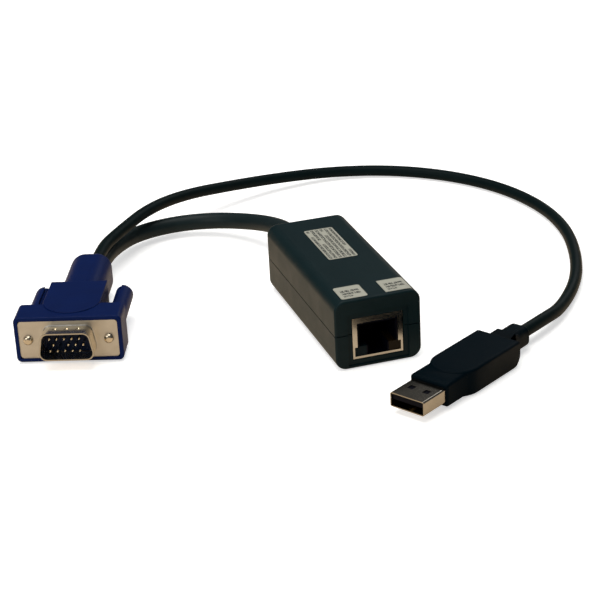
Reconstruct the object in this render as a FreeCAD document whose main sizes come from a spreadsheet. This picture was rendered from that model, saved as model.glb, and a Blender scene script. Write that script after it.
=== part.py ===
"""Adapter dongle for a keyboard, video and mouse switch.

A plastic box with a network socket in its front face. A thick video lead leaves the back of the
box and ends in a fifteen-pin video plug. A thinner lead leaves the same plug and ends in a
rectangular four-contact plug.

Millimetres. Origin: under the middle of the box, on the surface that everything lies on.
+X is to the right of somebody who looks into the socket, +Y points to the back of the box and
+Z is up. Each plug is built in a frame of its own, whose -Y is the way that it is pushed in.
"""
import FreeCAD, Part
import math
import os
import Sketcher

DIMENSIONS = [
    # Box
    ("box_width", 27.4), ("box_height", 22.4), ("box_length", 70.0),
    ("box_wall", 1.8), ("box_corner_radius", 3.5), ("box_rear_radius", 2.6),
    ("box_front_radius", 0.7), ("joint_groove", 0.3), ("lip_height", 1.2),
    ("lip_clearance", 0.1),
    # Socket in the front of the box
    ("socket_width", 16.0), ("socket_height", 13.3), ("socket_depth", 17.0),
    ("socket_centre_height", 9.3), ("socket_setback", 0.8), ("socket_clearance", 0.25),
    ("socket_sheet", 0.35), ("bezel_width", 1.5), ("bezel_depth", 0.5),
    ("window_width", 13.0), ("window_top_bar", 1.8), ("window_bottom_bar", 0.7),
    ("lamp_window_width", 14.7), ("lamp_width", 3.8), ("lamp_height", 3.0),
    ("lamp_length", 8.0), ("port_width", 11.8), ("port_height", 7.2), ("port_depth", 13.0),
    ("latch_width", 6.2), ("contact_pitch", 1.02), ("contact_wire", 0.35),
    ("contact_drop", 2.2), ("contact_length", 8.0),
    # Inside the box
    ("board_thickness", 1.2), ("board_side_gap", 0.4), ("board_front_gap", 2.0),
    ("board_rear_gap", 4.0), ("boss_radius", 2.9), ("boss_side", 8.2),
    ("boss_front_inset", 25.5), ("boss_rear_inset", 10.0), ("screw_shank_radius", 1.0),
    ("screw_head_radius", 1.9), ("screw_head_height", 1.3), ("screw_bite", 2.6),
    ("screw_seat_height", 10.5), ("screw_clearance", 0.2),
    ("chip_side", 14.0), ("chip_share", 0.4), ("chip_y", 8.0),
    ("small_chip_side", 7.0), ("small_chip_y", 23.5), ("small_chip_x", 6.5),
    ("capacitor_radius", 3.15), ("capacitor_height", 5.4), ("capacitor_x", -6.0),
    ("capacitor_y", 2.0), ("capacitor_spacing", 7.5), ("crystal_length", 11.0),
    ("crystal_width", 4.6), ("crystal_height", 3.5), ("crystal_x", 6.0), ("crystal_y", 12.0),
    ("header_length", 12.0), ("header_width", 5.0), ("header_height", 6.0),
    ("header_x", 3.0), ("header_inset", 8.0),
    # Labels on the box
    ("label_thickness", 0.12), ("label_length", 26.0), ("label_width", 9.6),
    ("label_x", 0.6), ("label_y", 10.0), ("tag_width", 8.3), ("tag_length", 8.8),
    ("tag_left_x", -6.45), ("tag_right_inset", 2.05), ("tag_front_inset", 6.0),
    # Leads
    ("video_lead_diameter", 5.8), ("plug_lead_diameter", 4.1),
    ("relief_length", 8.0), ("relief_root_radius", 4.4), ("relief_flange_radius", 5.6),
    ("relief_flange_thickness", 1.5), ("relief_clearance", 0.1),
    # Video plug
    ("video_x", -87.0), ("video_y", 4.2), ("video_turn", -20.2),
    ("hood_width", 33.4), ("hood_height", 15.6), ("hood_collar_height", 15.0),
    ("hood_collar_depth", 10.2), ("hood_corner_radius", 1.6), ("hood_grip_radius", 0.25),
    ("hood_body_half_width", 9.0),
    ("hood_body_end", 27.0), ("hood_bow_centre", 11.8), ("hood_neck_width", 13.6),
    ("hood_neck_height", 14.2), ("hood_neck_radius", 5.0), ("hood_neck_end", 54.0),
    ("hood_neck_rounding", 3.6), ("guard_end", 33.2), ("guard_wall", 0.7),
    ("plate_width", 30.8), ("plate_height", 12.5), ("plate_thickness", 0.8),
    ("plate_corner_radius", 1.4), ("plate_setback", 0.3), ("shroud_width", 17.8),
    ("shroud_height", 9.1), ("shroud_slope", 10.0), ("shroud_length", 5.9),
    ("shroud_sheet", 0.4), ("shroud_corner_radius", 2.4), ("dimple_radius", 0.75),
    ("dimple_depth", 0.22), ("dimple_pitch", 3.6), ("insert_recess", 0.2),
    ("insert_length", 6.0), ("insert_clearance", 0.05),
    ("pin_radius", 0.38), ("pin_length", 5.0), ("pin_pitch", 2.29), ("pin_row_pitch", 1.98),
    ("jackscrew_spacing", 25.0), ("jackscrew_radius", 1.42), ("jackscrew_clearance", 0.08),
    ("jackscrew_stand_out", 1.4), ("thread_radius", 1.4),
    ("thread_tip_radius", 0.6), ("knob_radius", 2.35), ("knob_clearance", 0.35),
    ("knob_gap", 0.3), ("knob_end", 35.2), ("knob_groove_radius", 0.3),
    ("knob_tip_radius", 0.8), ("jackscrew_embed", 14.0),
    ("video_exit_x", 0.5), ("video_exit_z", 5.6), ("plug_exit_x", 1.3), ("plug_exit_z", 10.8),
    # Rectangular plug
    ("plug_x", -4.7), ("plug_y", -70.5), ("plug_turn", -58.3),
    ("tube_width", 12.0), ("tube_height", 4.5), ("tube_length", 18.6), ("tube_sheet", 0.3),
    ("tube_corner_radius", 0.6), ("tube_hole_side", 2.0), ("tube_hole_x", 2.7),
    ("tube_hole_y", 5.9), ("tongue_width", 11.1), ("tongue_thickness", 1.9),
    ("tongue_setback", 0.5), ("tongue_block_length", 9.0), ("strip_width", 1.0),
    ("strip_thickness", 0.15), ("strip_length", 7.2), ("strip_pitch", 2.25),
    ("strip_setback", 1.2), ("grip_height", 8.2), ("grip_width", 15.6),
    ("grip_end", 45.5), ("grip_tail_end", 50.5),
    ("grip_tail_height", 7.6), ("grip_bow_centre", 24.0),
    ("grip_collar_width", 13.4), ("grip_collar_height", 7.2), ("grip_collar_start", 10.2),
    ("grip_edge_radius", 0.9), ("grip_neck_width", 7.4), ("grip_neck_height", 6.6),
    ("grip_neck_end", 57.0),
]

# Points that each lead follows, chosen by hand, between the ends that its two fittings give.
VIDEO_LEAD_POINTS = [
    (0.0, 52.5, 11.2), (-2.6, 66.1, 9.2), (-7.7, 78.1, 6.8), (-16.4, 88.0, 5.1),
    (-28.4, 92.9, 4.3), (-41.3, 91.5, 4.2), (-52.1, 84.3, 4.7),
]
PLUG_LEAD_POINTS = [
    (-54.6, 75.3, 11.7), (-40.6, 91.0, 12.4), (-24.0, 104.6, 10.4), (-4.0, 115.2, 7.0),
    (18.0, 122.6, 4.3), (40.0, 124.4, 2.7), (61.0, 118.0, 2.1), (79.0, 103.0, 2.1),
    (91.5, 83.0, 2.1), (97.0, 60.0, 2.1), (96.0, 37.0, 2.1), (89.0, 14.0, 2.1),
    (79.0, -7.0, 2.1), (65.0, -25.0, 2.4),
]

DOC = FreeCAD.newDocument("adapter_dongle")
SHEET = DOC.addObject("Spreadsheet::Sheet", "dims")
for row, (alias, value) in enumerate(DIMENSIONS, start=1):
    SHEET.set(f"A{row}", alias)
    SHEET.set(f"B{row}", str(value))
    SHEET.setAlias(f"B{row}", alias)
DOC.recompute()

NODES = []
PLACES = {"video": ("video_x", "video_y", "video_turn"), "plug": ("plug_x", "plug_y", "plug_turn")}


def size(alias):
    """Value of one cell of the sheet."""
    return float(SHEET.get(alias))


# ---------------------------------------------------------------- helpers for bodies and sketches

def place(part, frame):
    """Put a part that is built in a plug's own frame where that plug lies."""
    if frame:
        x, y, turn = PLACES[frame]
        part.setExpression("Placement.Base.x", f"dims.{x}")
        part.setExpression("Placement.Base.y", f"dims.{y}")
        part.setExpression("Placement.Rotation.Angle", f"dims.{turn} * 1 deg")


def new_body(label, frame=None):
    """A body that becomes one node."""
    part = DOC.addObject("PartDesign::Body", label)
    part.Label = label
    place(part, frame)
    NODES.append(part)
    return part


def new_sketch(part, plane, level="0"):
    """An empty sketch on one of the body's own planes, level away from it along +X, +Y or +Z."""
    sketch = part.newObject("Sketcher::SketchObject", "Sketch")
    support = [item for item in part.Origin.OriginFeatures if item.Role == plane + "_Plane"][0]
    sketch.AttachmentSupport = [(support, "")]
    sketch.MapMode = "FlatFace"
    along = f"-({level})" if plane == "XZ" else level
    sketch.setExpression("AttachmentOffset.Base.z", along)
    return sketch


def bind(sketch, kind, geometry, point, start, expression):
    """One dimension from the sketch's origin, set by an expression."""
    index = sketch.addConstraint(Sketcher.Constraint(kind, -1, 1, geometry, point, start))
    sketch.setExpression(f"Constraints[{index}]", expression)


def draw_polygon(sketch, points):
    """A closed outline whose corners are pairs of expressions."""
    first = sketch.GeometryCount
    count = len(points)
    turn = 2 * math.pi / count
    start = [FreeCAD.Vector(9 * math.cos(turn * i), 9 * math.sin(turn * i), 0) for i in range(count)]
    for i in range(count):
        sketch.addGeometry(Part.LineSegment(start[i], start[(i + 1) % count]), False)
    for i in range(count):
        after = first + (i + 1) % count
        sketch.addConstraint(Sketcher.Constraint("Coincident", first + i, 2, after, 1))
    for i, (across, up) in enumerate(points):
        bind(sketch, "DistanceX", first + i, 1, start[i].x, across)
        bind(sketch, "DistanceY", first + i, 1, start[i].y, up)


def draw_rectangle(sketch, left, right, low, high):
    draw_polygon(sketch, [(left, low), (right, low), (right, high), (left, high)])


def draw_circle(sketch, across, up, radius):
    index = sketch.addGeometry(Part.Circle(FreeCAD.Vector(1, 1, 0), FreeCAD.Vector(0, 0, 1), 2), False)
    bind(sketch, "DistanceX", index, 3, 1, across)
    bind(sketch, "DistanceY", index, 3, 1, up)
    limit = sketch.addConstraint(Sketcher.Constraint("Radius", index, 2))
    sketch.setExpression(f"Constraints[{limit}]", radius)


def round_corners(sketch, radius, start):
    """Replace each corner of the outline in a sketch with a tangent arc of one bound radius."""
    DOC.recompute()
    count = sketch.GeometryCount
    for i in range(count):
        before, after = sketch.Geometry[(i - 1) % count], sketch.Geometry[i]
        sketch.fillet((i - 1) % count, i, (before.StartPoint + before.EndPoint) * 0.5,
                      (after.StartPoint + after.EndPoint) * 0.5, start, True, True)
    for i, item in enumerate(sketch.Geometry):
        if item.TypeId == "Part::GeomArcOfCircle":
            limit = sketch.addConstraint(Sketcher.Constraint("Radius", i, item.Radius))
            sketch.setExpression(f"Constraints[{limit}]", radius)


def extrude(part, kind, sketch, plane, start, end):
    """Pad or pocket a sketch from its own level to another level along +X, +Y or +Z."""
    feature = part.newObject("PartDesign::" + kind, kind)
    feature.Profile = sketch
    feature.setExpression("Length", f"({end}) - ({start})")
    towards_plus = (kind == "Pad") != (plane == "XZ")
    feature.Reversed = not towards_plus
    return feature


def prism(part, plane, start, end, outline, kind="Pad", corner=None):
    """Pad or pocket of one rectangle (left, right, low, high), circle (x, y, radius) or polygon.

    The corners of a polygon can be rounded, by an expression.
    """
    sketch = new_sketch(part, plane, start)
    if isinstance(outline, list):
        draw_polygon(sketch, outline)
        if corner:
            round_corners(sketch, corner, 0.5)
    elif len(outline) == 4:
        draw_rectangle(sketch, *outline)
    else:
        draw_circle(sketch, *outline)
    return extrude(part, kind, sketch, plane, start, end)


def cut(part, plane, start, end, outline, corner=None):
    return prism(part, plane, start, end, outline, "Pocket", corner)


def edges_where(shape, test):
    """Names of the straight or curved edges whose bounding box passes the test."""
    return [f"Edge{i}" for i, edge in enumerate(shape.Edges, start=1) if test(edge)]


def local_shape(part):
    """The shape of a body's last feature, in the body's own frame."""
    return part.Tip.Shape


def round_edges(part, radius, test, kind="Fillet"):
    """Fillet or chamfer the edges of the body that pass the test."""
    DOC.recompute()
    base = part.Tip
    names = edges_where(local_shape(part), test)
    if not names:
        raise RuntimeError(f"no edge to round on {part.Label}")
    feature = part.newObject("PartDesign::" + kind, kind)
    feature.Base = (base, names)
    feature.setExpression("Radius" if kind == "Fillet" else "Size", radius)
    DOC.recompute()
    if feature.Shape.isNull():
        raise RuntimeError(f"{feature.Name} on {part.Label} failed")


def along(edge, axis):
    """Whether a straight edge runs along one axis."""
    if edge.Degenerated or edge.Curve.TypeId != "Part::GeomLine":
        return False
    direction = edge.Curve.Direction
    return abs(abs(getattr(direction, axis)) - 1) < 1e-6


def near(value, target):
    return abs(value - target) < 1e-4


def flat_at(edge, axis, level):
    """Whether the whole edge lies in the plane where the axis has one value."""
    box = edge.BoundBox
    return near(getattr(box, axis + "Min"), level) and near(getattr(box, axis + "Max"), level)


# ---------------------------------------------------------------- box

HALF_W = "dims.box_width / 2"
FRONT = "-dims.box_length / 2"
BACK = "dims.box_length / 2"
JOINT = "dims.box_height / 2"
INNER_HALF = "(dims.box_width / 2 - dims.box_wall)"
INNER_FRONT = "(-dims.box_length / 2 + dims.box_wall)"
INNER_BACK = "(dims.box_length / 2 - dims.box_wall)"
SOCKET_FRONT = "(-dims.box_length / 2 + dims.socket_setback)"
SOCKET_LOW = "(dims.socket_centre_height - dims.socket_height / 2)"
SOCKET_HIGH = "(dims.socket_centre_height + dims.socket_height / 2)"
BOARD_HIGH = "(dims.socket_centre_height + dims.socket_height / 2 + dims.board_thickness)"
BOSSES = [("dims.boss_side", "(-dims.box_length / 2 + dims.boss_front_inset)"),
          ("-dims.boss_side", "(dims.box_length / 2 - dims.boss_rear_inset)")]


def shell_outline(part, low, high, flat_end):
    """Outer block of one half of the box, with its long, rear and front edges rounded."""
    prism(part, "XZ", FRONT, BACK, (f"-{HALF_W}", HALF_W, low, high))
    half, front, back = size("box_width") / 2, -size("box_length") / 2, size("box_length") / 2
    closed = 0.0 if flat_end == "low" else size("box_height")
    round_edges(part, "dims.box_corner_radius",
                lambda e: along(e, "y") and near(e.BoundBox.ZMin, closed))
    joint = size("box_height") / 2
    groove = size("joint_groove") / 2
    rim = joint - groove if flat_end == "low" else joint + groove
    round_edges(part, "dims.box_rear_radius",
                lambda e: flat_at(e, "Y", back) and not flat_at(e, "Z", rim))
    round_edges(part, "dims.box_front_radius",
                lambda e: flat_at(e, "Y", front) and not flat_at(e, "Z", rim))


def ring_step(part, kind, start, end, spare):
    """Block that makes the lip, or its rebate, halfway through the wall all round."""
    half = f"(dims.box_width / 2 - dims.box_wall / 2 + {spare})"
    ends = f"(dims.box_length / 2 - dims.box_wall / 2 + {spare})"
    return prism(part, "XY", start, end, (f"-{half}", half, f"-{ends}", ends), kind)


def front_openings(part, low, high):
    """Opening for the socket and the shallow frame round it, where they cross this half."""
    side = "(dims.socket_width / 2 + dims.socket_clearance)"
    cut(part, "XZ", FRONT, f"{INNER_FRONT} + 0.01", (f"-{side}", side, low, high))
    frame_side = "(dims.socket_width / 2 + dims.socket_clearance + dims.bezel_width)"
    frame_low = f"({SOCKET_LOW} - dims.socket_clearance - dims.bezel_width)"
    frame_high = f"({SOCKET_HIGH} + dims.socket_clearance + dims.bezel_width)"
    span = (frame_low, high) if low != JOINT else (low, frame_high)
    cut(part, "XZ", FRONT, f"{FRONT} + dims.bezel_depth", (f"-{frame_side}", frame_side, *span))


def relief_hole(part):
    """Round hole in the rear wall for the groove of the strain relief."""
    cut(part, "XZ", f"{INNER_BACK} - 0.5", f"{BACK} + 0.5",
        ("0", JOINT, "dims.relief_root_radius + dims.relief_clearance"))


def lower_housing():
    part = new_body("lower_housing")
    rim = f"({JOINT} - dims.joint_groove / 2)"
    shell_outline(part, "0", rim, "low")
    lip_top = f"({JOINT} + dims.lip_height)"
    ring_step(part, "Pad", rim, lip_top, "0")
    lip_corner = size("box_length") / 2 - size("box_wall") / 2
    round_edges(part, "dims.box_rear_radius - dims.box_wall / 2",
                lambda e: along(e, "z") and near(abs(e.BoundBox.YMin), lip_corner))
    cut(part, "XY", "dims.box_wall", lip_top,
        (f"-{INNER_HALF}", INNER_HALF, INNER_FRONT, INNER_BACK))
    for x, y in BOSSES:
        prism(part, "XY", "dims.box_wall / 2", SOCKET_HIGH, (x, y, "dims.boss_radius"))
        cut(part, "XY", "0", "dims.screw_seat_height",
            (x, y, "dims.screw_head_radius + dims.screw_clearance"))
        cut(part, "XY", "dims.screw_seat_height", SOCKET_HIGH,
            (x, y, "dims.screw_shank_radius + dims.screw_clearance"))
    front_openings(part, f"({SOCKET_LOW} - dims.socket_clearance)", lip_top)
    relief_hole(part)
    return part


def upper_housing():
    part = new_body("upper_housing")
    rim = f"({JOINT} + dims.joint_groove / 2)"
    roof = "(dims.box_height - dims.box_wall)"
    shell_outline(part, rim, "dims.box_height", "high")
    ring_step(part, "Pocket", rim, f"({JOINT} + dims.lip_height)", "dims.lip_clearance")
    rebate = size("box_length") / 2 - size("box_wall") / 2 + size("lip_clearance")
    round_edges(part, "dims.box_rear_radius - dims.box_wall / 2 + dims.lip_clearance",
                lambda e: along(e, "z") and near(abs(e.BoundBox.YMin), rebate))
    cut(part, "XY", rim, roof, (f"-{INNER_HALF}", INNER_HALF, INNER_FRONT, INNER_BACK))
    for x, y in BOSSES:
        prism(part, "XY", BOARD_HIGH, f"{roof} + dims.box_wall / 2", (x, y, "dims.boss_radius"))
        cut(part, "XY", BOARD_HIGH, f"{BOARD_HIGH} + dims.screw_bite + dims.screw_clearance",
            (x, y, "dims.screw_shank_radius"))
    front_openings(part, JOINT, f"({SOCKET_HIGH} + dims.socket_clearance)")
    relief_hole(part)
    return part


def housing_screw(label, x, y):
    """Self-tapping screw that comes up through the lower boss and bites the upper one."""
    part = new_body(label)
    seat = "dims.screw_seat_height"
    prism(part, "XY", f"{seat} - dims.screw_head_height", seat, (x, y, "dims.screw_head_radius"))
    prism(part, "XY", seat, f"{BOARD_HIGH} + dims.screw_bite", (x, y, "dims.screw_shank_radius"))
    slot = "dims.screw_head_height / 4"
    reach = "dims.screw_head_radius * 0.6"
    low = f"({seat} - dims.screw_head_height)"
    cut(part, "XY", low, f"{low} + dims.screw_head_height / 2",
        (f"{x} - {reach}", f"{x} + {reach}", f"{y} - {slot}", f"{y} + {slot}"))
    cut(part, "XY", low, f"{low} + dims.screw_head_height / 2",
        (f"{x} - {slot}", f"{x} + {slot}", f"{y} - {reach}", f"{y} + {reach}"))
    return part


def circuit_board():
    part = new_body("circuit_board")
    side = f"({INNER_HALF} - dims.board_side_gap)"
    prism(part, "XY", SOCKET_HIGH, BOARD_HIGH,
          (f"-{side}", side, f"{INNER_FRONT} + dims.board_front_gap",
           f"{INNER_BACK} - dims.board_rear_gap"))
    for x, y in BOSSES:
        cut(part, "XY", SOCKET_HIGH, BOARD_HIGH,
            (x, y, "dims.screw_shank_radius + dims.screw_clearance"))
    return part


def block(label, low, high, x, y, length_x, length_y, edge=None):
    """A small rectangular component between two levels."""
    part = new_body(label)
    prism(part, "XY", low, high, (f"{x} - ({length_x}) / 2", f"{x} + ({length_x}) / 2",
                                  f"{y} - ({length_y}) / 2", f"{y} + ({length_y}) / 2"))
    if edge:
        round_edges(part, edge, lambda e: along(e, "z"))
    return part


def board_components():
    """The larger components: chips on top of the board, the rest hanging under it."""
    chip_top = f"{BOARD_HIGH} + dims.chip_share * (dims.box_height - dims.box_wall - {BOARD_HIGH})"
    block("controller_chip", BOARD_HIGH, chip_top, "0", "dims.chip_y", "dims.chip_side", "dims.chip_side")
    block("memory_chip", BOARD_HIGH, chip_top, "dims.small_chip_x", "dims.small_chip_y",
          "dims.small_chip_side", "dims.small_chip_side * 0.7")
    block("crystal", f"{SOCKET_HIGH} - dims.crystal_height", SOCKET_HIGH, "dims.crystal_x",
          "dims.crystal_y", "dims.crystal_width", "dims.crystal_length",
          "dims.crystal_width * 0.45")
    block("wire_header", f"{SOCKET_HIGH} - dims.header_height", SOCKET_HIGH,
          "dims.header_x", "(dims.box_length / 2 - dims.header_inset)", "dims.header_length",
          "dims.header_width")
    for name, shift in (("front", "0"), ("rear", "dims.capacitor_spacing")):
        part = new_body(f"capacitor_{name}")
        prism(part, "XY", f"{SOCKET_HIGH} - dims.capacitor_height", SOCKET_HIGH,
              ("dims.capacitor_x", f"dims.capacitor_y + {shift}", "dims.capacitor_radius"))


# ---------------------------------------------------------------- socket

def window_levels():
    """Heights of the upper window's top, the lamps' top and the windows' bottom."""
    top = f"({SOCKET_HIGH} - dims.window_top_bar)"
    low = f"({SOCKET_LOW} + dims.window_bottom_bar)"
    return top, f"({low} + dims.lamp_height)", low


def jack_shield():
    """Folded sheet sleeve with a front plate, open at the back."""
    part = new_body("jack_shield")
    side = "(dims.socket_width / 2)"
    back = f"({SOCKET_FRONT} + dims.socket_depth)"
    prism(part, "XZ", SOCKET_FRONT, back, (f"-{side}", side, SOCKET_LOW, SOCKET_HIGH))
    inner = "(dims.socket_width / 2 - dims.socket_sheet)"
    cut(part, "XZ", f"{SOCKET_FRONT} + dims.socket_sheet", back,
        (f"-{inner}", inner, f"{SOCKET_LOW} + dims.socket_sheet",
         f"{SOCKET_HIGH} - dims.socket_sheet"))
    top, shelf, low = window_levels()
    wide = "(dims.lamp_window_width / 2)"
    narrow = "(dims.window_width / 2)"
    cut(part, "XZ", SOCKET_FRONT, f"{SOCKET_FRONT} + dims.socket_sheet",
        [(f"-{wide}", low), (wide, low), (wide, shelf), (narrow, shelf), (narrow, top),
         (f"-{narrow}", top), (f"-{narrow}", shelf), (f"-{wide}", shelf)])
    return part


def jack_insert():
    """Moulded block inside the shield, with the plug's cavity, latch slot and lamp pockets."""
    part = new_body("jack_insert")
    start = f"({SOCKET_FRONT} + dims.socket_sheet)"
    inner = "(dims.socket_width / 2 - dims.socket_sheet)"
    prism(part, "XZ", start, f"{SOCKET_FRONT} + dims.socket_depth",
          (f"-{inner}", inner, f"{SOCKET_LOW} + dims.socket_sheet",
           f"{SOCKET_HIGH} - dims.socket_sheet"))
    top, shelf, low = window_levels()
    half = "(dims.port_width / 2)"
    cut(part, "XZ", start, f"{SOCKET_FRONT} + dims.port_depth",
        (f"-{half}", half, shelf, f"{shelf} + dims.port_height"))
    latch = "(dims.latch_width / 2)"
    cut(part, "XZ", start, f"{SOCKET_FRONT} + dims.port_depth", (f"-{latch}", latch, low, shelf))
    for side in ("-", ""):
        outer = f"{side}(dims.lamp_window_width / 2)"
        edge = f"{side}(dims.lamp_window_width / 2 - dims.lamp_width)"
        span = (outer, edge) if side else (edge, outer)
        cut(part, "XZ", start, f"{start} + dims.lamp_length", (*span, low, shelf))
    return part


def lamp(label, side):
    """Light pipe beside the latch slot, flush behind the shield."""
    part = new_body(label)
    start = f"({SOCKET_FRONT} + dims.socket_sheet)"
    top, shelf, low = window_levels()
    outer = f"{side}(dims.lamp_window_width / 2)"
    edge = f"{side}(dims.lamp_window_width / 2 - dims.lamp_width)"
    span = (outer, edge) if side else (edge, outer)
    prism(part, "XZ", start, f"{start} + dims.lamp_length", (*span, low, shelf))
    return part


def jack_contacts():
    """Eight bent spring wires under the roof of the cavity, each a solid of its own."""
    wire = size("contact_wire")
    floor = size("socket_centre_height") - size("socket_height") / 2
    roof = floor + size("window_bottom_bar") + size("lamp_height") + size("port_height")
    front = -size("box_length") / 2 + size("socket_setback") + size("socket_sheet") + 1.6
    drop, length = size("contact_drop"), size("contact_length")
    outline = [(front, roof), (front + 1.4, roof), (front + 1.4 + length, roof - drop),
               (front + 1.2 + length, roof - drop - wire), (front + 1.2, roof - wire), (front, roof - wire)]
    springs = []
    for i in range(8):
        x = (i - 3.5) * size("contact_pitch") - wire / 2
        corners = [FreeCAD.Vector(x, y, z) for y, z in outline]
        face = Part.Face(Part.makePolygon(corners + corners[:1]))
        springs.append(face.extrude(FreeCAD.Vector(wire, 0, 0)))
    part = DOC.addObject("Part::Feature", "jack_contacts")
    part.Shape = Part.makeCompound(springs)
    NODES.append(part)
    return part


# ---------------------------------------------------------------- labels

def label_plate(label, x, y, width, length):
    """Flat sticker on the roof of the box."""
    part = new_body(label)
    prism(part, "XY", "dims.box_height", "dims.box_height + dims.label_thickness",
          (f"{x} - {width} / 2", f"{x} + {width} / 2", f"{y} - {length} / 2", f"{y} + {length} / 2"))
    round_edges(part, "dims.label_thickness * 6", lambda e: along(e, "z"))
    return part


def wrapped_tag(label):
    """Sticker that runs over the rounded right edge: box skin, thickened, inside the tag's outline."""
    width, height = size("box_width"), size("box_height")
    radius, skin = size("box_corner_radius"), size("label_thickness")
    right = width / 2 - size("tag_right_inset")
    left = right - size("tag_width")
    corner_x, corner_z = width / 2 - radius, height - radius

    def corner(r, reach):
        """Point on a circle about the box's edge radius, above a given distance to the right."""
        return FreeCAD.Vector(reach, 0, corner_z + math.sqrt(r * r - (reach - corner_x) ** 2))

    def arc(r):
        middle = (corner_x + right) / 2
        return Part.Arc(FreeCAD.Vector(corner_x, 0, corner_z + r), corner(r, middle), corner(r, right))

    low, high = height, height + skin
    edges = [Part.LineSegment(FreeCAD.Vector(left, 0, low), FreeCAD.Vector(corner_x, 0, low)),
             arc(radius),
             Part.LineSegment(corner(radius, right), corner(radius + skin, right)),
             arc(radius + skin),
             Part.LineSegment(FreeCAD.Vector(corner_x, 0, high), FreeCAD.Vector(left, 0, high)),
             Part.LineSegment(FreeCAD.Vector(left, 0, high), FreeCAD.Vector(left, 0, low))]
    wire = Part.Wire(Part.__sortEdges__([edge.toShape() for edge in edges]))
    sheet = Part.Face(wire).extrude(FreeCAD.Vector(0, size("tag_length"), 0))
    part = DOC.addObject("Part::Feature", label)
    part.Shape = sheet
    part.Placement = FreeCAD.Placement(
        FreeCAD.Vector(0, -size("box_length") / 2 + size("tag_front_inset") - size("tag_length") / 2, 0),
        FreeCAD.Rotation())
    NODES.append(part)
    return part


# ---------------------------------------------------------------- strain relief on the box

def cable_relief():
    """Turned profile: flange inside the rear wall, neck through it and a taper outside."""
    part = new_body("cable_relief")
    sketch = new_sketch(part, "YZ")
    inside = f"({INNER_BACK} - dims.relief_flange_thickness)"
    axis = JOINT
    tip = f"({BACK} + dims.relief_length)"
    draw_polygon(sketch, [
        (inside, axis), (tip, axis), (tip, f"{axis} + dims.video_lead_diameter / 2 + 0.5"),
        (f"{BACK} + 1.6", f"{axis} + dims.relief_root_radius - 0.3"),
        (f"{BACK} + 1.6", f"{axis} + dims.relief_flange_radius - 0.4"),
        (BACK, f"{axis} + dims.relief_flange_radius - 0.4"),
        (BACK, f"{axis} + dims.relief_root_radius"),
        (INNER_BACK, f"{axis} + dims.relief_root_radius"),
        (INNER_BACK, f"{axis} + dims.relief_flange_radius"),
        (inside, f"{axis} + dims.relief_flange_radius")])
    DOC.recompute()
    turned = part.newObject("PartDesign::Revolution", "Revolution")
    turned.Profile = sketch
    turned.ReferenceAxis = (sketch, ["Edge1"])
    turned.Angle = 360
    return part


# ---------------------------------------------------------------- video plug

VIDEO_MIDDLE = "(dims.hood_height / 2)"
SCREW_X = "(dims.jackscrew_spacing / 2)"
SHROUD_INNER_RADIUS = "dims.shroud_corner_radius - dims.shroud_sheet"
GUARD_RADIUS = "(dims.knob_radius + dims.knob_clearance + dims.guard_wall)"


def shroud_outline(shrink):
    """Corners of the D outline, wide side down, brought in by shrink all round."""
    slope = "tan(dims.shroud_slope * 1 deg)"
    low = f"({VIDEO_MIDDLE} - dims.shroud_height / 2 + ({shrink}))"
    high = f"({VIDEO_MIDDLE} + dims.shroud_height / 2 - ({shrink}))"
    wide = f"(dims.shroud_width / 2 - ({shrink}) * 1.2)"
    narrow = f"({wide} - (dims.shroud_height - 2 * ({shrink})) * {slope})"
    return [(f"-{wide}", low), (wide, low), (narrow, high), (f"-{narrow}", high)]


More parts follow.
